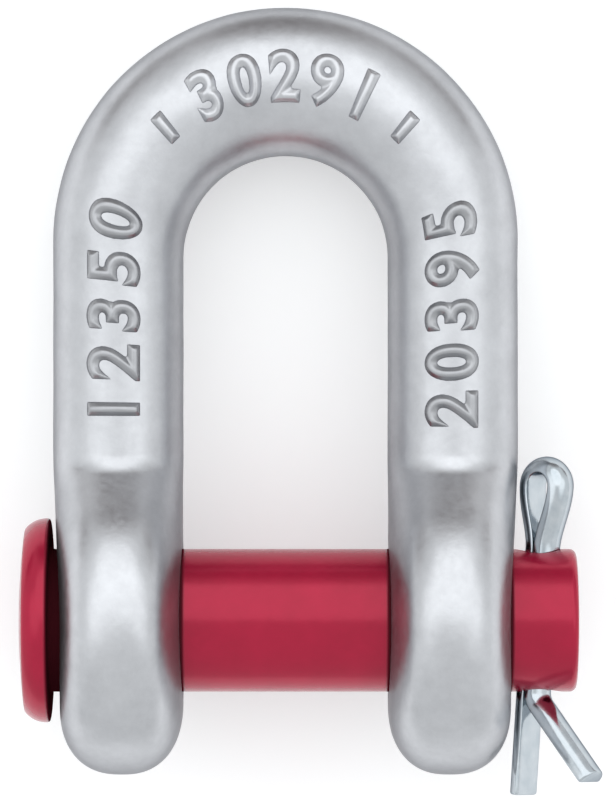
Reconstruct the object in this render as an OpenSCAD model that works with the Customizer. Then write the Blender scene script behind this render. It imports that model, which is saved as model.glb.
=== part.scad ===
// Round pin chain shackle: a forged bow, a headed round pin and a split pin that keeps it in.
// The origin is on the pin's axis, midway between the ears. X runs along the pin towards the split pin,
// Y points from the pin to the crown, and Z is up. The shackle lies at rest on its two ears and its crown.

/* [Bow] */
// Clear width of the jaw between the ears
jaw_w = 36.5; // [30:0.5:45]
// Clear length from the pin to the inside of the crown
inside_len = 70; // [60:0.5:90]
// Diameter of the round stock in the legs
stock_d = 23; // [20:0.1:27]
// Thickness of the crown, measured in the plane of the bow
crown_t = 26.2; // [22:0.1:32]

/* [Ears] */
// Outer diameter of an ear around the pin
ear_d = 54.8; // [48:0.2:66]
// Width of an ear along the pin, between its flat faces
ear_w = 21.7; // [18:0.1:25]
// Depth of the rounding at an ear's end, seen square to the bow's plane
ear_round = 12.5; // [8:0.1:13]
// Fullness of that rounding: 2 is an ellipse, and more is squarer
ear_fullness = 2.3; // [2:0.1:3]
// Fullness of an ear's section across the bow's plane, likewise
ear_section = 3.2; // [2.2:0.1:4]
// Angle from the leg's line at which an ear's shoulder slopes down to the leg
shoulder_angle = 44; // [38:1:50]
// Radius of the fillet between a leg and its ear's shoulder
ear_fillet_r = 5; // [2:0.5:8]

/* [Pin] */
// Diameter of the pin
pin_d = 25.4; // [20:0.1:30]
// Radial clearance of the pin in the ears
pin_clearance = 0.5; // [0.2:0.05:0.9]
// Least gap between the head and the bow
head_gap = 1; // [0.2:0.1:3]
// Diameter of the head
head_d = 36.3; // [32:0.1:44]
// Thickness of the head at its middle
head_t = 5.5; // [5:0.1:9]
// Height of the dome on the head
head_dome = 1.3; // [0.3:0.1:1.6]
// Radius of the head's outer edge
head_edge_r = 4.8; // [0.8:0.1:5.2]
// Radius of the edge at the pin's free end
pin_end_r = 1.2; // [0.4:0.1:2]
// Length of pin past the split pin's hole
pin_end_l = 2.7; // [2.2:0.1:8]

/* [Split pin] */
// Diameter of the split pin, both halves of its wire together
split_d = 6.2; // [4:0.1:8]
// Radial play of the split pin in its hole
split_play = 0.9; // [0.2:0.05:1.2]
// Inside diameter of the split pin's eye
eye_d = 4.6; // [2:0.1:7]
// Height of the eye above the pin
eye_h = 16.5; // [12:0.1:24]
// Length of the straight leg past the pin
leg_l = 18.5; // [14:0.5:30]
// Length of the bent leg past the pin, along its line
bent_leg_l = 20.5; // [14:0.5:30]
// Angle by which that leg is bent out
leg_bend = 46; // [10:1:60]
// Radius of that bend
leg_bend_r = 4.5; // [4:0.5:14]
// Turn of the split pin about its own axis
split_turn = 41; // [0:1:60]
// Least gap between the split pin and the bow
split_clearance = 0.5; // [0.2:0.1:2]

/* [Hidden] */

// Points around a section of the bow, and degrees between sections of its curves
section_points = 36;
section_step = 7.5;
// Height between sections of the fillet, and how far the points of an ear's section crowd to its flat faces
fillet_step = 0.7;
crowding = 14;
// Steps around the round side of the split pin's wire, degrees between sections of its eye and its bend,
// and steps along each side of the eye's neck
wire_points = 10;
eye_step = 18;
bend_step = 6;
neck_steps = 8;
// Gap between the flat sides of the wire's two halves, and the smallest clearance that is modelled
wire_gap = 0.2;
small_clearance = 0.1;
// Least straight length at the tip of the bent leg
tip_l = 2;

jaw_x = jaw_w / 2;
stock_r = stock_d / 2;
ear_r = ear_d / 2;
pin_r = pin_d / 2;
head_r = head_d / 2;
wire_r = (split_d - wire_gap) / 2;

// The crown: its inner arc stands on the legs' inner faces, its outer arc on their outer faces
crown_inner_y = pin_r + inside_len - jaw_x;
crown_outer_r = jaw_x + stock_d;
crown_outer_y = crown_inner_y + crown_t - stock_d;

// The distance from the pin at which the rounding of an ear's end begins, the height of the shoulder's fillet
// on the middle of a leg, and the height at which it has ended on the leg's sides
ear_x = jaw_x + ear_w / 2;
ear_flat_r = ear_r - ear_round;
fillet_y = fillet_top(stock_r);
leg_y = fillet_top(stock_r / 2);

// Lying on a plane, the pin's axis is ear_r above it and the bow slopes down until the crown touches
crown_mid_y = pin_r + inside_len + crown_t / 2;
lay_a = pow(crown_mid_y, 2) - pow(crown_t / 2, 2) + pow(stock_r, 2);
lay_b = ear_r * crown_mid_y;
lay_c = pow(ear_r, 2) - pow(stock_r, 2);
lay_angle = asin((lay_b - sqrt(pow(lay_b, 2) - lay_a * lay_c)) / lay_a);

// The split pin leans as far as its hole lets it, with its eye away from the bow
split_hole_r = split_d / 2 + split_play;
split_lean = atan((split_play - small_clearance) / pin_r);
eye_y = pin_r + eye_h - wire_r - eye_d / 2;
eye_reach = eye_d / 2 * cos(split_turn) + wire_r - eye_y * sin(split_lean);
leg_reach = split_d / 2 + ear_flat_r * sin(split_lean);
split_x = jaw_x + split_clearance + max(max(stock_d, ear_w) + eye_reach, ear_w + leg_reach);

function smooth(t) = let (u = min(max(t, 0), 1)) u * u * (3 - 2 * u);
// Outer face of the bow at height y: above the pin it widens from the ear's width to the stock's
function outer_x(y) = jaw_x + ear_w + (stock_d - ear_w) * smooth(y / fillet_y);

head_x = -(max(outer_x(0), outer_x(head_r)) + head_gap);
pin_end_x = split_x + split_hole_r + pin_end_l;

function mirrored(p) = [-p[0], p[1]];
function reversed(list) = [for (i = [len(list) - 1:-1:0]) list[i]];

// A closed surface through rings with the same number of points, ended by a fan to a tip at each end
module skin(rings, first_tip, last_tip) {
    n = len(rings[0]);
    last = len(rings) * n + 1;
    points = concat([first_tip], [for (ring = rings) each ring], [last_tip]);
    function at(r, k) = 1 + r * n + k % n;
    sides = [for (r = [0:len(rings) - 2], k = [0:n - 1])
        each [[at(r, k), at(r + 1, k), at(r + 1, k + 1)], [at(r, k), at(r + 1, k + 1), at(r, k + 1)]]];
    first_fan = [for (k = [0:n - 1]) [0, at(0, k), at(0, k + 1)]];
    last_fan = [for (k = [0:n - 1]) [last, at(len(rings) - 1, k + 1), at(len(rings) - 1, k)]];
    polyhedron(points, concat(sides, first_fan, last_fan));
}

// Turns the shackle from its own plane to the way it lies
module lay() {
    rotate([-lay_angle, 0, 0]) children();
}

// Share of its full width that an ear has at height y, which is less than 1 only at its rounded end
function rounded(t, fullness) = pow(max(0, 1 - pow(min(max(t, 0), 1), fullness)), 1 / fullness);
function width_share(y) = rounded((-y - ear_flat_r) / ear_round, ear_fullness);

// The shoulder leaves the ear's rim at this turn about the pin, and its fillet ends at this height on
// a leg of half depth leg. A shoulder too short for the slope is all fillet
function shoulder_turn(leg) = min(shoulder_angle, acos((ear_fillet_r + leg) / (ear_fillet_r + ear_r)));
function fillet_top(leg) =
    let (turn = shoulder_turn(leg))
    (ear_r + ear_fillet_r - (leg + ear_fillet_r) * cos(turn)) / sin(turn);

// Side view of an ear and a leg of half depth leg: the rim, the sloped shoulder, its fillet, then the leg
function profile(y, leg) =
    let (turn = shoulder_turn(leg), top = fillet_top(leg))
    y >= top ? leg
    : y > top - ear_fillet_r * sin(turn) ? leg + ear_fillet_r - sqrt(pow(ear_fillet_r, 2) - pow(top - y, 2))
    : y > ear_r * sin(turn) ? (ear_r - y * sin(turn)) / cos(turn)
    : sqrt(max(0, pow(ear_r, 2) - pow(y, 2)));

// Half depth at height y and at a share of the half width: an ear's full section passes into the round stock
function half_depth(y, share) =
    let (scale = rounded(abs(share), ear_section), leg = stock_r * sqrt(max(0, 1 - pow(share, 2))))
    scale == 0 ? 0 : scale * profile(y, leg / scale);

function leg_ring(y) =
    let (
        middle = (jaw_x + outer_x(y)) / 2,
        half = (outer_x(y) - jaw_x) / 2,
        crowd = crowding * (1 - smooth(y / fillet_y))
    )
    [for (k = [0:section_points - 1])
        let (
            even = 360 * k / section_points,
            a = even - crowd * sin(2 * even)
        )
        [middle + half * width_share(y) * cos(a), y, sign(sin(a)) * half_depth(y, cos(a))]];
function crown_ring(turn) =
    let (
        inner = [jaw_x * cos(turn), crown_inner_y + jaw_x * sin(turn)],
        outer = [crown_outer_r * cos(turn), crown_outer_y + crown_outer_r * sin(turn)]
    )
    [for (k = [0:section_points - 1])
        let (a = 360 * k / section_points, p = (inner + outer + (outer - inner) * cos(a)) / 2)
        [p[0], p[1], stock_r * sin(a)]];

// Heights of a leg's sections: even turns about the pin at first, and even steps from the shoulder on
function leg_heights() =
    let (
        low_end = asin(ear_flat_r / ear_r),
        low_steps = ceil((90 + low_end) / section_step),
        high_steps = ceil((leg_y - ear_flat_r) / fillet_step)
    )
    concat(
        [for (i = [1:low_steps]) ear_r * sin(-90 + (90 + low_end) * i / low_steps)],
        [for (i = [1:high_steps]) ear_flat_r + (leg_y - ear_flat_r) * i / high_steps]
    );

module shackle_bow() {
    leg = [for (y = leg_heights()) leg_ring(y)];
    crown = [for (turn = [0:section_step:180]) crown_ring(turn)];
    other_leg = [for (ring = reversed(leg)) [for (p = ring) [-p[0], p[1], p[2]]]];
    rings = concat(leg, crown, other_leg);
    color([0.74, 0.75, 0.77])
    lay()
    difference() {
        skin(rings, [ear_x, -ear_r, 0], [-ear_x, -ear_r, 0]);
        rotate([0, 90, 0])
            cylinder(r = pin_r + pin_clearance, h = 4 * (jaw_x + stock_d), center = true, $fn = 96);
    }
}

// Half outline of the pin: radius along x, distance along the pin on y
module pin_outline() {
    shank_l = pin_end_x - head_x;
    dome_r = (pow(head_r, 2) + pow(head_dome, 2)) / (2 * head_dome);
    translate([0, head_x]) square([pin_r, shank_l - pin_end_r]);
    translate([0, head_x]) square([pin_r - pin_end_r, shank_l]);
    translate([pin_r - pin_end_r, pin_end_x - pin_end_r]) circle(r = pin_end_r, $fn = 48);
    intersection() {
        union() {
            translate([0, head_x - head_t + head_edge_r]) square([head_r, head_t - head_edge_r]);
            translate([0, head_x - head_t]) square([head_r - head_edge_r, head_t]);
            translate([head_r - head_edge_r, head_x - head_t + head_edge_r]) circle(r = head_edge_r, $fn = 48);
        }
        translate([0, head_x - head_t]) square([head_r, head_t]);
        translate([0, head_x - head_t + dome_r]) circle(r = dome_r, $fn = 360);
    }
}

module round_pin() {
    color([0.65, 0.13, 0.22])
    lay()
    difference() {
        rotate([0, 90, 0]) rotate_extrude($fn = 96) pin_outline();
        translate([split_x, 0, 0])
            rotate([90, 0, 0]) cylinder(r = split_hole_r, h = 2 * pin_d, center = true, $fn = 48);
    }
}

// The line of the wire's flat side in the plane of the eye, as [across, along] points from the tip of
// the straight leg, up round the eye, and down to the tip of the bent leg
function wire_line() =
    let (
        near = wire_gap / 2,
        eye_r = eye_d / 2,
        neck_y = pin_r + small_clearance,
        bend_steps = ceil(leg_bend / bend_step),
        straight_l = max(tip_l, bent_leg_l - leg_bend_r * leg_bend * PI / 180),
        neck = [for (i = [0:neck_steps - 1])
            let (t = i / neck_steps) [near + (eye_r - near) * smooth(t), neck_y + (eye_y - neck_y) * t]],
        bend = [for (i = [0:bend_steps])
            let (a = leg_bend * i / bend_steps)
            [near + leg_bend_r * (1 - cos(a)), -pin_r - leg_bend_r * sin(a)]],
        bend_end = bend[bend_steps]
    )
    concat(
        [[-near, -pin_r - leg_l]],
        [for (p = neck) mirrored(p)],
        [for (a = [180:-eye_step:0]) [eye_r * cos(a), eye_y + eye_r * sin(a)]],
        reversed(neck),
        bend,
        [bend_end + straight_l * [sin(leg_bend), -cos(leg_bend)]]
    );

function direction(line, i) =
    let (d = line[min(i + 1, len(line) - 1)] - line[max(i - 1, 0)]) d / norm(d);
// A point inside the half-round end of the wire
function end_middle(ring) = (ring[0] + ring[wire_points / 2] + ring[wire_points]) / 3;

module split_pin() {
    line = wire_line();
    rings = [for (i = [0:len(line) - 1])
        let (d = direction(line, i), out = [-d[1], d[0]])
        [for (k = [0:wire_points])
            let (a = -90 + 180 * k / wire_points, p = line[i] + wire_r * cos(a) * out)
            [p[0], p[1], wire_r * sin(a)]]];
    color([0.62, 0.66, 0.7])
    lay()
    translate([split_x, 0, 0])
    rotate([0, 0, -split_lean])
    rotate([0, -split_turn, 0])
    skin(rings, end_middle(rings[0]), end_middle(rings[len(rings) - 1]));
}

shackle_bow();
round_pin();
split_pin();
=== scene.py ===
import math

import bmesh
import bpy
from mathutils import Matrix, Vector, noise


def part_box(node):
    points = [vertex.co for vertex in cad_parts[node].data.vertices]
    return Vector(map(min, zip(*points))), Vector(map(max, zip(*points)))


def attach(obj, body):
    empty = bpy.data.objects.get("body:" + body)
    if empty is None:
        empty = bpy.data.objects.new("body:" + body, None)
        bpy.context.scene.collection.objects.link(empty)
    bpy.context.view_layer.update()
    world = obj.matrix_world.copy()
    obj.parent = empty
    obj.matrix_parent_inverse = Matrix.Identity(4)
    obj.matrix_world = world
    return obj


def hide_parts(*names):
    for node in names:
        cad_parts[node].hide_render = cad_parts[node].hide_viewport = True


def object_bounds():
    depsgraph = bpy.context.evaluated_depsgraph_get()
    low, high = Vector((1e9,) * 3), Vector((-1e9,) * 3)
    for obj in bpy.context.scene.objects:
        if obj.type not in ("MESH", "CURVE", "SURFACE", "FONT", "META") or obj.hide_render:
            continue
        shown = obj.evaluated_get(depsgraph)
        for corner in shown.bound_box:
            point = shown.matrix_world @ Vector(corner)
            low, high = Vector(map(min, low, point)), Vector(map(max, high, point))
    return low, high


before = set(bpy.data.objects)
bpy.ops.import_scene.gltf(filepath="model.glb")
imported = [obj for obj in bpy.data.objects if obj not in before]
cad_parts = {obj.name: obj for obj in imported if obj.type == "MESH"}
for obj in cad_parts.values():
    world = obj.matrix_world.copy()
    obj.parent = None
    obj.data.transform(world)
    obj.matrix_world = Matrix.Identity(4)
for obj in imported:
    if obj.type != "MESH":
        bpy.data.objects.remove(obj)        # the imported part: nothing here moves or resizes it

# The looks of a round pin chain shackle that lies on a pale floor.
# Lengths are in metres and angles in radians. X runs along the pin, Y from the pin to the crown, Z is up.

CAD_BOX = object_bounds()
MM = 0.001

# Sizes of the bow
JAW_W = 36.5 * MM
INSIDE_LEN = 70 * MM
STOCK_D = 23 * MM
CROWN_T = 26.2 * MM
EAR_D = 54.8 * MM
EAR_W = 21.7 * MM
EAR_ROUND = 12.5 * MM
SHOULDER_ANGLE = math.radians(44)
EAR_FILLET_R = 5 * MM

# Powers of the bow's rounded outlines: 2 is an ellipse, and more is fuller
EAR_FULLNESS = 2.3
EAR_SECTION = 3.2
SHOULDER_SECTION = 2.2

# Sizes of the pin
PIN_D = 25.4 * MM
PIN_CLEARANCE = 0.5 * MM
HEAD_T = 5.5 * MM
HEAD_D = 36.3 * MM
HEAD_DOME = 1.3 * MM
HEAD_EDGE_R = 4.8 * MM
HEAD_FILLET_R = 0.8 * MM
HEAD_UNDER_R = 0.5 * MM
PIN_END_R = 1.2 * MM
PIN_END_L = 2.7 * MM

# Sizes of the split pin
SPLIT_D = 6.2 * MM
SPLIT_PLAY = 0.9 * MM
EYE_D = 4.6 * MM
EYE_H = 16.5 * MM
LEG_L = 18.5 * MM
BENT_LEG_L = 20.5 * MM
LEG_BEND = math.radians(46)
LEG_BEND_R = 4.5 * MM
SPLIT_TURN = math.radians(41)
WIRE_GAP = 0.2 * MM
WIRE_CORNER_R = 0.35 * MM
WIRE_END_R = 0.5 * MM
SMALL_CLEARANCE = 0.1 * MM

# Rounded edges of the holes
BORE_FLARE_R = 1.1 * MM
HOLE_FLARE_R = 0.6 * MM

# Meshes: segments of the turned shapes, and how far an ear's points crowd to its flat faces
TURNED_SEGMENTS = 144
HOLE_SEGMENTS = 96
EAR_CROWDING = 0.24

# Surface of the forging: slight waves, and the flash that was trimmed along the parting line
WAVE_HEIGHT = 0.07 * MM
WAVE_LENGTH = 14 * MM
WAVE_FINENESS = 3
FINE_WAVE_SHARE = 0.35
FLASH_HEIGHT = 0.1 * MM
FLASH_W = 2.4 * MM
FLASH_FLATNESS = 1.6
FLASH_SHARE = 0.8
FLASH_RAGGEDNESS = 0.3
FLASH_RAGGED_L = 3 * FLASH_W

# Raised numbers on the legs and the crown, and two tick marks on the crown
MARK_HEIGHT = 1.0 * MM
MARK_DEPTH = 1.0 * MM
LEG_MARK_SIZE = 12.3 * MM
CROWN_MARK_SIZE = 10.5 * MM
MARK_BEVEL = 0.9 * MM
MARK_THINNING = 0.25 * MM
MARK_SPACING = 1.35
MARK_VOXEL = 0.18 * MM
MARK_SMOOTHING = 8
# Painted shade: the leg numbers are coloured with the zinc darkened by this share
LEG_MARK_SHADE = 0.72
NUMBER_START = 34.5 * MM
TICK_ANGLE = math.radians(45)
TICK_L = 0.7 * MM
TICK_W = 3.6 * MM

# Light that the floor adds to its own where it is seen, so that it is white around a faint shadow
FLOOR_GLOW = 0.26

jaw_x = JAW_W / 2
stock_r = STOCK_D / 2
ear_r = EAR_D / 2
pin_r = PIN_D / 2
head_r = HEAD_D / 2
wire_r = (SPLIT_D - WIRE_GAP) / 2
crown_inner_y = pin_r + INSIDE_LEN - jaw_x
crown_outer_r = jaw_x + STOCK_D
crown_outer_y = crown_inner_y + CROWN_T - STOCK_D
ear_x = jaw_x + EAR_W / 2
ear_flat_r = ear_r - EAR_ROUND
shoulder_y = ear_r * math.sin(SHOULDER_ANGLE)
straight_end = (crown_inner_y + crown_outer_y) / 2


def fillet_top(leg):
    """Height at which the shoulder's fillet ends on a leg of half depth leg."""
    run, rise = math.cos(SHOULDER_ANGLE), math.sin(SHOULDER_ANGLE)
    return (ear_r + EAR_FILLET_R - (leg + EAR_FILLET_R) * run) / rise


fillet_y = fillet_top(stock_r)
leg_y = fillet_top(stock_r / 2)

# The shackle lies on its ears and its crown, so its plane slopes down towards the crown
crown_mid_y = pin_r + INSIDE_LEN + CROWN_T / 2
lay_a = crown_mid_y ** 2 - (CROWN_T / 2) ** 2 + stock_r ** 2
lay_b = ear_r * crown_mid_y
lay_c = ear_r ** 2 - stock_r ** 2
lay_angle = math.asin((lay_b - math.sqrt(lay_b ** 2 - lay_a * lay_c)) / lay_a)
LAY = Matrix.Rotation(-lay_angle, 4, "X")

# The pin's ends, the head's underside and the split pin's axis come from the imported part
pin_low, pin_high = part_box("round_pin")
head_x = pin_low.x + HEAD_T
pin_end_x = pin_high.x
split_hole_r = SPLIT_D / 2 + SPLIT_PLAY
split_x = pin_end_x - PIN_END_L - split_hole_r
split_lean = math.atan((SPLIT_PLAY - SMALL_CLEARANCE) / pin_r)
floor_z = CAD_BOX[0].z


# Mesh helpers

def smooth(t):
    """Rises smoothly from 0 at t = 0 to 1 at t = 1."""
    u = min(max(t, 0.0), 1.0)
    return u * u * (3 - 2 * u)


def spread(start, end, steps):
    """Evenly spaced values from start to end, both included."""
    return [start + (end - start) * i / steps for i in range(steps + 1)]


def mesh_object(name, points, faces):
    mesh = bpy.data.meshes.new(name)
    mesh.from_pydata(points, [], faces)
    obj = bpy.data.objects.new(name, mesh)
    bpy.context.scene.collection.objects.link(obj)
    return obj


def face_outwards(mesh):
    work = bmesh.new()
    work.from_mesh(mesh)
    bmesh.ops.recalc_face_normals(work, faces=work.faces)
    work.to_mesh(mesh)
    work.free()


def skin(name, rings, first_tip=None, last_tip=None):
    """A closed surface through rings of points. Each end is a fan to its tip, or a flat face."""
    count = len(rings[0])
    points = [p for ring in rings for p in ring]
    faces = []
    for r in range(len(rings) - 1):
        for k in range(count):
            here, beside = r * count + k, r * count + (k + 1) % count
            faces.append((here, here + count, beside + count, beside))
    last = (len(rings) - 1) * count
    for start, tip in ((0, first_tip), (last, last_tip)):
        if tip is None:
            faces.append(tuple(range(start, start + count)))
            continue
        points.append(tip)
        faces += [(len(points) - 1, start + k, start + (k + 1) % count) for k in range(count)]
    obj = mesh_object(name, points, faces)
    face_outwards(obj.data)
    return obj


def revolved(name, outline, segments):
    """A solid turned about the X axis from (x, radius) points. The first and the last lie on the axis."""
    rings = []
    for x, radius in outline[1:-1]:
        angles = [2 * math.pi * k / segments for k in range(segments)]
        rings.append([Vector((x, radius * math.cos(a), radius * math.sin(a))) for a in angles])
    return skin(name, rings, Vector((outline[0][0], 0, 0)), Vector((outline[-1][0], 0, 0)))


def arc(cx, cy, radius, start, end, steps):
    """Points of an arc about (cx, cy), from the start angle to the end angle."""
    return [(cx + radius * math.cos(a), cy + radius * math.sin(a)) for a in spread(start, end, steps)]


def evaluated_mesh(obj):
    depsgraph = bpy.context.evaluated_depsgraph_get()
    return bpy.data.meshes.new_from_object(obj.evaluated_get(depsgraph))


def remove(obj):
    mesh = obj.data
    bpy.data.objects.remove(obj)
    if isinstance(mesh, bpy.types.Mesh) and not mesh.users:
        bpy.data.meshes.remove(mesh)


def cut(obj, *cutters):
    """Cuts the cutters out of a piece, and removes them."""
    for cutter in cutters:
        modifier = obj.modifiers.new("cut", "BOOLEAN")
        modifier.operation = "DIFFERENCE"
        modifier.solver = "EXACT"
        modifier.object = cutter
    mesh = evaluated_mesh(obj)
    obj.modifiers.clear()
    obj.data = mesh
    for cutter in cutters:
        remove(cutter)


def shade(obj, sharp_angle):
    obj.data.polygons.foreach_set("use_smooth", [True] * len(obj.data.polygons))
    obj.data.set_sharp_from_angle(angle=sharp_angle)


def finish_piece(obj, body, node, material):
    """Gives a piece its material and puts it on its body, in the place of a node of the part."""
    obj.data.materials.clear()
    obj.data.materials.append(material)
    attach(obj, body)
    if node:
        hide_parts(node)


# The bow: a loft through rings of points, whose angle is 0 on the outer side and a quarter turn above

def rounded(t, fullness):
    """A rounded outline: 1 at t = 0, falling to 0 at t = 1."""
    return max(0.0, 1 - min(max(t, 0.0), 1.0) ** fullness) ** (1 / fullness)


def profile(y, leg):
    """Half depth at height y: the rim, the sloped shoulder, its fillet, then the leg's half depth."""
    rise, run = math.sin(SHOULDER_ANGLE), math.cos(SHOULDER_ANGLE)
    top = fillet_top(leg)
    if y >= top:
        return leg
    if y > top - EAR_FILLET_R * rise:
        return leg + EAR_FILLET_R - math.sqrt(EAR_FILLET_R ** 2 - (top - y) ** 2)
    if y > ear_r * rise:
        return (ear_r - y * rise) / run
    return math.sqrt(max(0.0, ear_r ** 2 - y ** 2))


def half_depth(y, share):
    """Half depth at a share of the half width: full at the ear, and rounder towards the leg."""
    section = EAR_SECTION + (SHOULDER_SECTION - EAR_SECTION) * smooth(y / fillet_y)
    scale = rounded(abs(share), section)
    leg = stock_r * math.sqrt(max(0.0, 1 - share ** 2))
    return scale * profile(y, leg / scale)


def leg_point(y, angle):
    """Point of the right leg or its ear. On the ear the points crowd to its flat faces."""
    crowding = EAR_CROWDING * (1 - smooth(y / fillet_y))
    outer = jaw_x + EAR_W + (STOCK_D - EAR_W) * smooth(y / fillet_y)
    turn = angle - crowding * math.sin(2 * angle)
    width = (outer - jaw_x) * rounded((-y - ear_flat_r) / EAR_ROUND, EAR_FULLNESS)
    x = (jaw_x + outer + width * math.cos(turn)) / 2
    return Vector((x, y, math.copysign(half_depth(y, math.cos(turn)), math.sin(turn))))


def crown_point(turn, angle):
    """Point of the crown, whose turn is 0 at the right leg and half a circle at the left one."""
    inner = Vector((jaw_x * math.cos(turn), crown_inner_y + jaw_x * math.sin(turn), 0))
    outer = Vector((crown_outer_r * math.cos(turn), crown_outer_y + crown_outer_r * math.sin(turn), 0))
    level = (inner + outer + (outer - inner) * math.cos(angle)) / 2
    return level + Vector((0, 0, stock_r * math.sin(angle)))


def straight_point(t, angle):
    """Point of the straight leg, from the fillet at t = 0 to the crown at t = 1."""
    return leg_point(leg_y, angle).lerp(crown_point(0, angle), t)


def bow_rings():
    """Rings from the end of the right ear over the crown to the end of the left ear."""
    low_steps, high_steps, straight_steps, crown_steps, ring_points = 80, 90, 30, 128, 132
    angles = [2 * math.pi * (k + 0.5) / ring_points for k in range(ring_points)]
    flat_angle = math.asin(ear_flat_r / ear_r)
    heights = [ear_r * math.sin(a) for a in spread(-math.pi / 2, flat_angle, low_steps)[1:]]
    heights += spread(ear_flat_r, leg_y, high_steps)[1:]
    leg = [[leg_point(y, a) for a in angles] for y in heights]
    leg += [[straight_point(t, a) for a in angles] for t in spread(0, 1, straight_steps)[1:-1]]
    crown = [[crown_point(turn, a) for a in angles] for turn in spread(0, math.pi, crown_steps)]
    other_leg = [[Vector((-p.x, p.y, p.z)) for p in ring] for ring in reversed(leg)]
    return leg + crown + other_leg


def forged(ring):
    """Moves a ring's points by the waves of a forging and the trimmed flash along its parting line."""
    middle = sum(ring, Vector()) / len(ring)
    above_ear = smooth((middle.y - shoulder_y) / (fillet_y - shoulder_y))
    moved = []
    for point in ring:
        fine_wave = noise.noise(point * WAVE_FINENESS / WAVE_LENGTH)
        wave = noise.noise(point / WAVE_LENGTH) + FINE_WAVE_SHARE * fine_wave
        ragged = FLASH_SHARE + FLASH_RAGGEDNESS * noise.noise(point / FLASH_RAGGED_L)
        flash = smooth(FLASH_FLATNESS - abs(point.z) / (FLASH_W / 2))
        height = WAVE_HEIGHT * wave + FLASH_HEIGHT * above_ear * ragged * flash
        moved.append(point + (point - middle).normalized() * height)
    return moved


def bore_cutter(name, side):
    """Cuts one ear's bore, with a rounded edge at both faces of the ear."""
    wide_r, flare = pin_r + PIN_CLEARANCE + BORE_FLARE_R, BORE_FLARE_R
    near, far = jaw_x, jaw_x + EAR_W
    outline = [(near - EAR_W, 0), (near - EAR_W, wide_r)]
    outline += arc(near + flare, wide_r, flare, math.pi, 1.5 * math.pi, steps=10)
    outline += arc(far - flare, wide_r, flare, 1.5 * math.pi, 2 * math.pi, steps=10)
    outline += [(far + EAR_W, wide_r), (far + EAR_W, 0)]
    return revolved(name, [(side * x, r) for x, r in outline], TURNED_SEGMENTS)


def make_bow():
    rings = [forged(ring) for ring in bow_rings()]
    bow = skin("bow_forging", rings, Vector((ear_x, -ear_r, 0)), Vector((-ear_x, -ear_r, 0)))
    cut(bow, bore_cutter("bore_right", 1), bore_cutter("bore_left", -1))
    bow.data.transform(LAY)
    shade(bow, sharp_angle=math.radians(40))
    return bow


# Raised marks: flat shapes that are wrapped onto the upper side of the bow

def bow_point(distance, angle):
    """Point of the right half of the bow, at a distance from the pin along the middle of the stock."""
    if distance < straight_end:
        return straight_point((distance - leg_y) / (straight_end - leg_y), angle)
    return crown_point((distance - straight_end) / ((jaw_x + crown_outer_r) / 2), angle)


def upper_side(side, distance, outwards):
    """Point and normal of the bow's upper side, at a distance along it and outwards from its middle."""
    def place(d, o):
        point = bow_point(d, math.pi / 2 - o / stock_r)
        return Vector((side * point.x, point.y, point.z))
    step = 0.05 * MM
    along = place(distance + step, outwards) - place(distance - step, outwards)
    across = place(distance, outwards + step) - place(distance, outwards - step)
    normal = along.cross(across).normalized()
    return place(distance, outwards), normal if normal.z > 0 else -normal


def wrapped_mark(name, flat, side, distance, outward_sign):
    """Wraps a flat mark: its X runs along the bow, its Y across it and its Z is its height."""
    remesh = flat.modifiers.new("even", "REMESH")
    remesh.mode = "VOXEL"
    remesh.voxel_size = MARK_VOXEL
    rounding = flat.modifiers.new("rounding", "SMOOTH")
    rounding.factor = 0.5
    rounding.iterations = MARK_SMOOTHING
    mesh = evaluated_mesh(flat)
    remove(flat)
    for vertex in mesh.vertices:
        point, normal = upper_side(side, distance + vertex.co.x, outward_sign * vertex.co.y)
        vertex.co = LAY @ (point + normal * vertex.co.z)
    face_outwards(mesh)
    obj = bpy.data.objects.new(name, mesh)
    bpy.context.scene.collection.objects.link(obj)
    shade(obj, sharp_angle=math.radians(60))
    return obj


def flat_number(digits, size, align="LEFT"):
    """A number with chamfered strokes. It reaches MARK_HEIGHT above the bow and MARK_DEPTH into it."""
    curve = bpy.data.curves.new("digits", "FONT")
    curve.body = digits
    curve.size = size
    curve.space_character = MARK_SPACING
    curve.bevel_depth = MARK_BEVEL
    curve.bevel_resolution = 0
    curve.offset = -MARK_THINNING
    curve.extrude = (MARK_HEIGHT + MARK_DEPTH) / 2 - MARK_BEVEL
    curve.align_x = align
    curve.align_y = "CENTER"
    text = bpy.data.objects.new("digits", curve)
    bpy.context.scene.collection.objects.link(text)
    bpy.context.view_layer.update()
    mesh = evaluated_mesh(text)
    remove(text)
    mesh.transform(Matrix.Translation((0, 0, (MARK_HEIGHT - MARK_DEPTH) / 2)))
    flat = bpy.data.objects.new("flat_number", mesh)
    bpy.context.scene.collection.objects.link(flat)
    return flat


def flat_tick():
    """A short bar with chamfered sides, as high and as deep as a number."""
    points = []
    for z, grown in ((-MARK_DEPTH, MARK_BEVEL), (0, MARK_BEVEL), (MARK_HEIGHT, 0)):
        x, y = TICK_L / 2 + grown, TICK_W / 2 + grown
        points += [(-x, -y, z), (x, -y, z), (x, y, z), (-x, y, z)]
    sides = [(i + k, i + (k + 1) % 4, i + (k + 1) % 4 + 4, i + k + 4) for i in (0, 4) for k in range(4)]
    return mesh_object("flat_tick", points, [(3, 2, 1, 0), (8, 9, 10, 11)] + sides)


def make_crown_marks():
    crown_r = (jaw_x + crown_outer_r) / 2
    tick_at = straight_end + TICK_ANGLE * crown_r
    crown_top = straight_end + math.pi / 2 * crown_r
    number = flat_number("30291", CROWN_MARK_SIZE, "CENTER")
    return [
        wrapped_mark("raised_number_crown", number, -1, crown_top, 1),
        wrapped_mark("tick_mark_left", flat_tick(), -1, tick_at, 1),
        wrapped_mark("tick_mark_right", flat_tick(), 1, tick_at, 1),
    ]


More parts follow.
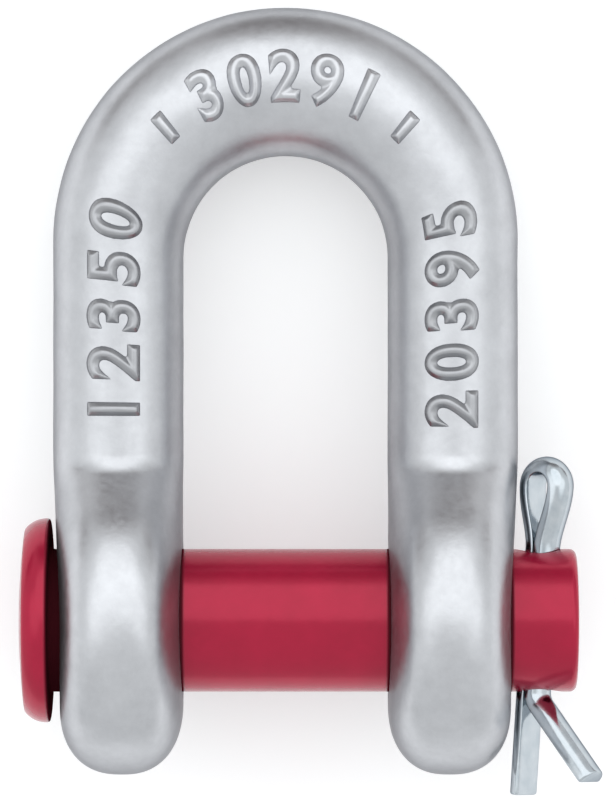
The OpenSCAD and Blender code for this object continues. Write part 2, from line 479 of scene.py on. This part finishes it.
def make_leg_marks():
    return [
        wrapped_mark("raised_number_left", flat_number("12350", LEG_MARK_SIZE), -1, NUMBER_START, 1),
        wrapped_mark("raised_number_right", flat_number("20395", LEG_MARK_SIZE), 1, NUMBER_START, -1),
    ]


# The pin

def pin_outline():
    """(x, radius) points from the middle of the head's dome to the middle of the free end."""
    front = head_x - HEAD_T
    dome_r = (head_r ** 2 + HEAD_DOME ** 2) / (2 * HEAD_DOME)

    def dome_x(radius):
        return front + dome_r - math.sqrt(dome_r ** 2 - radius ** 2)

    flat_r = head_r - HEAD_EDGE_R
    under, fillet, end = HEAD_UNDER_R, HEAD_FILLET_R, PIN_END_R
    outline = [(dome_x(r), r) for r in spread(0, flat_r, steps=24)]
    edge = arc(front + HEAD_EDGE_R, flat_r, HEAD_EDGE_R, math.pi, math.pi / 2, steps=14)[1:]
    outline += [(max(x, dome_x(r)), r) for x, r in edge]
    outline += arc(head_x - under, head_r - under, under, math.pi / 2, 0, steps=5)
    outline += arc(head_x + fillet, pin_r + fillet, fillet, math.pi, 1.5 * math.pi, steps=6)
    outline += [(x, pin_r) for x in spread(head_x + 2 * fillet, pin_end_x - 2 * end, steps=60)]
    outline += arc(pin_end_x - end, pin_r - end, end, math.pi / 2, 0, steps=10)
    outline += [(pin_end_x, r) for r in spread(pin_r - end, 0, steps=12)[1:]]
    return outline


def hole_cutter():
    """Cuts the split pin's hole, with a rounded edge where it leaves the pin."""
    flare = HOLE_FLARE_R
    rim = pin_r - flare
    quarter = [(rim + flare * math.sin(a), split_hole_r + flare * (1 - math.cos(a)))
               for a in spread(0, math.pi / 2, steps=8)]
    half = quarter + [(2 * pin_r, split_hole_r + flare), (2 * pin_r, 0)]
    outline = [(-x, r) for x, r in reversed(half)] + half
    cutter = revolved("split_hole", outline, HOLE_SEGMENTS)
    cutter.data.transform(Matrix.Translation((split_x, 0, 0)) @ Matrix.Rotation(math.pi / 2, 4, "Z"))
    return cutter


def make_pin():
    pin = revolved("turned_pin", pin_outline(), TURNED_SEGMENTS)
    cut(pin, hole_cutter())
    pin.data.transform(LAY)
    shade(pin, sharp_angle=math.radians(35))
    return pin


# The split pin: half-round wire swept along a line in the plane of its eye

def wire_line():
    """The wire's flat side: the straight leg, a neck, the eye, a neck, then the bent leg."""
    near, eye_r = WIRE_GAP / 2, EYE_D / 2
    neck_y = pin_r + SMALL_CLEARANCE
    eye_y = pin_r + EYE_H - wire_r - eye_r
    straight_l = BENT_LEG_L - LEG_BEND_R * LEG_BEND
    neck = [Vector((near + (eye_r - near) * smooth(t), neck_y + (eye_y - neck_y) * t))
            for t in spread(0, 1, steps=24)[:-1]]
    eye = [Vector(p) for p in arc(0, eye_y, eye_r, math.pi, 0, steps=48)]
    bend = [Vector((near + LEG_BEND_R * (1 - math.cos(a)), -pin_r - LEG_BEND_R * math.sin(a)))
            for a in spread(0, LEG_BEND, steps=24)]
    tip = bend[-1] + straight_l * Vector((math.sin(LEG_BEND), -math.cos(LEG_BEND)))
    straight = [Vector((-near, y)) for y in spread(-pin_r - LEG_L, neck_y, steps=30)[:-1]]
    far_neck = [Vector((-p.x, p.y)) for p in neck]
    through = [Vector((near, y)) for y in spread(neck_y, -pin_r, steps=16)[1:-1]]
    tip_line = [bend[-1].lerp(tip, t) for t in spread(0, 1, steps=12)[1:]]
    return straight + far_neck + eye + neck[::-1] + through + bend + tip_line


def half_round(radius):
    """Outline of the wire as (out, across) points, with small round corners beside its flat side."""
    corner = WIRE_CORNER_R
    reach = math.sqrt((radius - corner) ** 2 - corner ** 2)
    turn = math.atan2(reach, corner)
    low = arc(corner, -reach, corner, -math.pi, -turn, steps=5)
    round_side = arc(0, 0, radius, -turn, turn, steps=28)[1:-1]
    high = arc(corner, reach, corner, turn, math.pi, steps=5)
    flat = [(0, y) for y in spread(reach, -reach, steps=8)[1:-1]]
    return low + round_side + high + flat


def wire_ring(place, direction, shrink):
    """Ring of the wire at a place on its line, shrunk about the centroid of its half-round section."""
    out = Vector((-direction.y, direction.x))
    middle = wire_r * 4 / (3 * math.pi)
    ring = []
    for reach, across in half_round(wire_r):
        reach = middle + (reach - middle) * shrink
        flat = place + out * reach
        ring.append(Vector((flat.x, flat.y, across * shrink)))
    return ring


def rounded_end(place, direction, outward):
    """Rings that round a cut end of the wire, from side to face. Outward is -1 at the line's start."""
    rings = []
    for a in spread(0, math.pi / 2, steps=5):
        inset = WIRE_END_R * (1 - math.cos(a))
        back = WIRE_END_R * (1 - math.sin(a))
        shrink = 1 - inset / wire_r
        rings.append(wire_ring(place - outward * direction * back, direction, shrink))
    return rings


def make_split_pin():
    line = wire_line()
    last = len(line) - 1
    directions = [(line[min(i + 1, last)] - line[max(i - 1, 0)]).normalized() for i in range(last + 1)]
    rings = rounded_end(line[0], directions[0], -1)[::-1]
    rings += [wire_ring(line[i], directions[i], 1) for i in range(1, last)]
    rings += rounded_end(line[last], directions[last], 1)
    pin = skin("split_pin_wire", rings)
    turn = Matrix.Rotation(-SPLIT_TURN, 4, "Y")
    lean = Matrix.Rotation(-split_lean, 4, "Z")
    pin.data.transform(LAY @ Matrix.Translation((split_x, 0, 0)) @ lean @ turn)
    shade(pin, sharp_angle=math.radians(50))
    return pin


# Materials

def joined(tree, operation, *terms):
    """A math node of a tree, with numbers set on its sockets and outputs linked to them."""
    node = tree.nodes.new("ShaderNodeMath")
    node.operation = operation
    for socket, term in zip(node.inputs, terms):
        if isinstance(term, float):
            socket.default_value = term
        else:
            tree.links.new(term, socket)
    return node.outputs["Value"]


class Nodes:
    """A material's node tree, with short calls to add and join nodes."""

    def __init__(self, name):
        self.material = bpy.data.materials.new(name)
        self.material.use_nodes = True
        self.tree = self.material.node_tree
        self.shader = self.tree.nodes["Principled BSDF"]
        self.place = self.add("ShaderNodeTexCoord").outputs["Object"]

    def add(self, kind, **values):
        node = self.tree.nodes.new(kind)
        for key, value in values.items():
            if hasattr(node, key):
                setattr(node, key, value)
            else:
                node.inputs[key.replace("_", " ").title()].default_value = value
        return node

    def join(self, output, target):
        self.tree.links.new(output, target)

    def noise(self, size, detail=3.0, roughness=0.55):
        """Noise whose features are about size metres across."""
        node = self.add("ShaderNodeTexNoise", scale=1 / size, detail=detail, roughness=roughness)
        self.join(self.place, node.inputs["Vector"])
        return node.outputs["Fac"]

    def ramp(self, factor, *stops):
        """A colour ramp of (position, colour) stops."""
        node = self.add("ShaderNodeValToRGB")
        elements = node.color_ramp.elements
        while len(elements) < len(stops):
            elements.new(0.5)
        for element, (position, colour) in zip(elements, stops):
            element.position = position
            element.color = (*colour, 1)
        self.join(factor, node.inputs["Fac"])
        return node.outputs["Color"]

    def spread_to(self, factor, low, high):
        """Maps the middle of a factor's range to values from low to high."""
        node = self.add("ShaderNodeMapRange")
        node.inputs["From Min"].default_value = 0.3
        node.inputs["From Max"].default_value = 0.7
        node.inputs["To Min"].default_value = low
        node.inputs["To Max"].default_value = high
        self.join(factor, node.inputs["Value"])
        return node.outputs["Result"]

    def past_x(self, start, end):
        """Rises from 0 to 1 between two places on the object's X axis."""
        parts = self.add("ShaderNodeSeparateXYZ")
        self.join(self.place, parts.inputs["Vector"])
        node = self.add("ShaderNodeMapRange")
        node.inputs["From Min"].default_value = start
        node.inputs["From Max"].default_value = end
        self.join(parts.outputs["X"], node.inputs["Value"])
        return node.outputs["Result"]

    def between_x(self, start, end, edge):
        """1 between two places on the object's X axis, falling to 0 over an edge on either side."""
        return joined(self.tree, "SUBTRACT", self.past_x(start - edge, start), self.past_x(end, end + edge))

    def mixed(self, factor, colour, other):
        """A colour output mixed with a fixed colour."""
        node = self.add("ShaderNodeMix", data_type="RGBA")
        # A mix node has sockets for every kind of data, and these are the ones for colours
        amount, first, second = node.inputs[0], node.inputs[6], node.inputs[7]
        self.join(factor, amount)
        self.join(colour, first)
        second.default_value = (*other, 1)
        return node.outputs[2]

    def bump(self, height, distance, strength, under=None):
        node = self.add("ShaderNodeBump")
        node.inputs["Strength"].default_value = strength
        node.inputs["Distance"].default_value = distance
        self.join(height, node.inputs["Height"])
        if under:
            self.join(under, node.inputs["Normal"])
        return node.outputs["Normal"]


def galvanised(name, tone):
    """Satin hot dip zinc: cloudy grey, with soft waves and a fine grain. A tone below 1 darkens its colour,
    as painted shade.
    """
    n = Nodes(name)
    cloud = n.noise(9 * MM, detail=8, roughness=0.72)
    grain = n.noise(1.1 * MM, detail=3)
    fine = n.noise(0.35 * MM, detail=2)
    dark = [tone * c for c in (0.5, 0.505, 0.525)]
    pale = [tone * c for c in (0.61, 0.617, 0.64)]
    n.join(n.ramp(cloud, (0.3, dark), (0.7, pale)), n.shader.inputs["Base Color"])
    n.join(n.spread_to(grain, low=0.3, high=0.39), n.shader.inputs["Roughness"])
    n.shader.inputs["Metallic"].default_value = 1
    n.shader.inputs["Specular Tint"].default_value = (0.4, 0.4, 0.41, 1)
    waves = n.bump(grain, distance=0.05 * MM, strength=0.5)
    n.join(n.bump(fine, distance=0.012 * MM, strength=0.5, under=waves), n.shader.inputs["Normal"])
    return n.material


def red_paint():
    """Semi-gloss red paint, a little uneven, with painted shade, dark and matt, on the pin in and beside
    the ears.
    """
    n = Nodes("red_paint")
    # The last colour is painted shade: the dark of the gaps where the pin passes through the ears
    dark, pale, painted_shade_colour = (0.36, 0.003, 0.032), (0.41, 0.004, 0.038), (0.07, 0.009, 0.014)
    edge = 0.6 * MM
    cloud = n.noise(7 * MM, detail=3)
    peel = n.noise(1.6 * MM, detail=2)
    paint = n.ramp(cloud, (0.3, dark), (0.7, pale))
    # Painted shade: dark and matt from the head's underside through the left ear, and through the right
    # ear, fading just beside each
    head_side = n.between_x(head_x, -jaw_x, edge)
    split_side = n.between_x(jaw_x, jaw_x + EAR_W, edge)
    painted_shade = joined(n.tree, "ADD", head_side, split_side)
    n.join(n.mixed(painted_shade, paint, painted_shade_colour), n.shader.inputs["Base Color"])
    n.join(n.spread_to(painted_shade, low=0.5, high=0), n.shader.inputs["Specular IOR Level"])
    n.join(n.spread_to(painted_shade, low=0.35, high=0), n.shader.inputs["Metallic"])
    n.join(n.spread_to(peel, low=0.18, high=0.24), n.shader.inputs["Roughness"])
    n.join(n.bump(peel, distance=0.04 * MM, strength=0.4), n.shader.inputs["Normal"])
    return n.material


def zinc_plate():
    """Bright zinc plate on drawn wire."""
    n = Nodes("bright_zinc")
    dark, pale = (0.45, 0.495, 0.53), (0.55, 0.585, 0.615)
    cloud = n.noise(2.5 * MM, detail=3)
    n.join(n.ramp(cloud, (0.3, dark), (0.7, pale)), n.shader.inputs["Base Color"])
    n.join(n.spread_to(cloud, low=0.1, high=0.18), n.shader.inputs["Roughness"])
    n.shader.inputs["Metallic"].default_value = 1
    n.shader.inputs["Specular Tint"].default_value = (0.25, 0.27, 0.3, 1)
    grain = n.noise(0.6 * MM)
    n.join(n.bump(grain, distance=0.02 * MM, strength=0.3), n.shader.inputs["Normal"])
    return n.material


# Stage: floor, light tent and camera

def make_floor():
    """A pale floor that ends behind the crown, so that the crown mirrors the tent's dark end there."""
    left, right, front, back = -0.5, 0.5, -0.5, 0.128
    corners = [(left, front), (right, front), (right, back), (left, back)]
    floor = mesh_object("floor", [(x, y, floor_z) for x, y in corners], [(0, 1, 2, 3)])
    n = Nodes("pale_floor")
    n.shader.inputs["Base Color"].default_value = (0.86, 0.86, 0.86, 1)
    n.shader.inputs["Roughness"].default_value = 0.9
    n.shader.inputs["Specular IOR Level"].default_value = 0.0
    n.shader.inputs["Emission Color"].default_value = (1, 1, 1, 1)
    path = n.add("ShaderNodeLightPath").outputs
    seen = joined(n.tree, "ADD", path["Is Camera Ray"], path["Is Glossy Ray"])
    seen = joined(n.tree, "ADD", seen, path["Is Transmission Ray"])
    n.join(joined(n.tree, "MULTIPLY", seen, FLOOR_GLOW), n.shader.inputs["Emission Strength"])
    floor.data.materials.append(n.material)


def tent_patch(tree, direction, inner, outer):
    """1 within the inner angle of a direction of the tent, falling to 0 at the outer angle."""
    place = tree.nodes.new("ShaderNodeTexCoord").outputs["Generated"]
    dot = tree.nodes.new("ShaderNodeVectorMath")
    dot.operation = "DOT_PRODUCT"
    dot.inputs[1].default_value = direction.normalized()
    tree.links.new(place, dot.inputs[0])
    edge = tree.nodes.new("ShaderNodeMapRange")
    edge.interpolation_type = "SMOOTHSTEP"
    edge.inputs["From Min"].default_value = math.cos(outer)
    edge.inputs["From Max"].default_value = math.cos(inner)
    tree.links.new(dot.outputs["Value"], edge.inputs["Value"])
    return edge.outputs["Result"]


def brightest(tree, *patches):
    """The highest of the patches at each place of the tent."""
    total = patches[0]
    for patch in patches[1:]:
        total = joined(tree, "MAXIMUM", total, patch)
    return total


def tent_pair(tree, direction, inner, outer):
    """A patch of the tent and its mirror image on the other side of the bow."""
    mirrored = Vector((-direction.x, direction.y, direction.z))
    return brightest(tree, *(tent_patch(tree, d, inner, outer) for d in (mirrored, direction)))


def make_tent():
    """A light tent: a broad soft key over the crown, pale sides and a dark end behind the crown."""
    base, key_level, side_share, fill_level, dark_share = 0.9, 0.79, 0.84, 0.12, 0.66
    world = bpy.data.worlds.new("light_tent")
    bpy.context.scene.world = world
    world.use_nodes = True
    tree = world.node_tree
    main_key = tent_patch(tree, Vector((0, 0.67, 0.74)), math.radians(28), math.radians(32))
    side_keys = tent_pair(tree, Vector((0.52, 0.33, 0.79)), math.radians(10), math.radians(31))
    key = brightest(tree, main_key, joined(tree, "MULTIPLY", side_keys, side_share))
    fill = tent_pair(tree, Vector((1, 0, 0.25)), math.radians(15), math.radians(42))
    dark_end = tent_patch(tree, Vector((0, 1, -0.3)), math.radians(13), math.radians(32))
    dark_corners = tent_pair(tree, Vector((0.75, 0.66, -0.3)), math.radians(8), math.radians(24))
    dark = brightest(tree, dark_end, dark_corners)
    level = joined(tree, "MULTIPLY_ADD", key, key_level, base)
    level = joined(tree, "MULTIPLY_ADD", fill, fill_level, level)
    level = joined(tree, "MULTIPLY", level, joined(tree, "MULTIPLY_ADD", dark, -dark_share, 1.0))
    cool, warm = (0.968, 0.99, 1, 1), (1, 0.945, 0.945, 1)
    tint = tree.nodes.new("ShaderNodeValToRGB")
    tint.color_ramp.elements[0].color = cool
    tint.color_ramp.elements[1].color = warm
    tree.links.new(dark, tint.inputs["Fac"])
    background = tree.nodes["Background"]
    tree.links.new(tint.outputs["Color"], background.inputs["Color"])
    tree.links.new(level, background.inputs["Strength"])


def make_camera():
    """Looks square onto the bow's plane, framed as the photograph is."""
    frame_height = 142.4 * MM
    distance = 0.92
    aim = Vector((4.0 * MM, 39.2 * MM, 0))
    camera = bpy.data.cameras.new("camera")
    camera.sensor_width = 36
    camera.lens = camera.sensor_width * distance / frame_height
    obj = bpy.data.objects.new("camera", camera)
    bpy.context.scene.collection.objects.link(obj)
    obj.matrix_world = LAY @ Matrix.Translation(aim + Vector((0, 0, distance)))
    bpy.context.scene.camera = obj


zinc = galvanised("galvanised_zinc", tone=1)
# A darker copy of the zinc: painted shade for the raised numbers on the legs
shaded_zinc = galvanised("shaded_zinc", tone=LEG_MARK_SHADE)
finish_piece(make_bow(), "bow", "shackle_bow", zinc)
for mark in make_crown_marks():
    finish_piece(mark, "bow", None, zinc)
for mark in make_leg_marks():
    finish_piece(mark, "bow", None, shaded_zinc)
finish_piece(make_pin(), "pin", "round_pin", red_paint())
finish_piece(make_split_pin(), "pin", "split_pin", zinc_plate())
make_floor()
make_tent()
make_camera()
bpy.context.scene.view_settings.view_transform = "Standard"
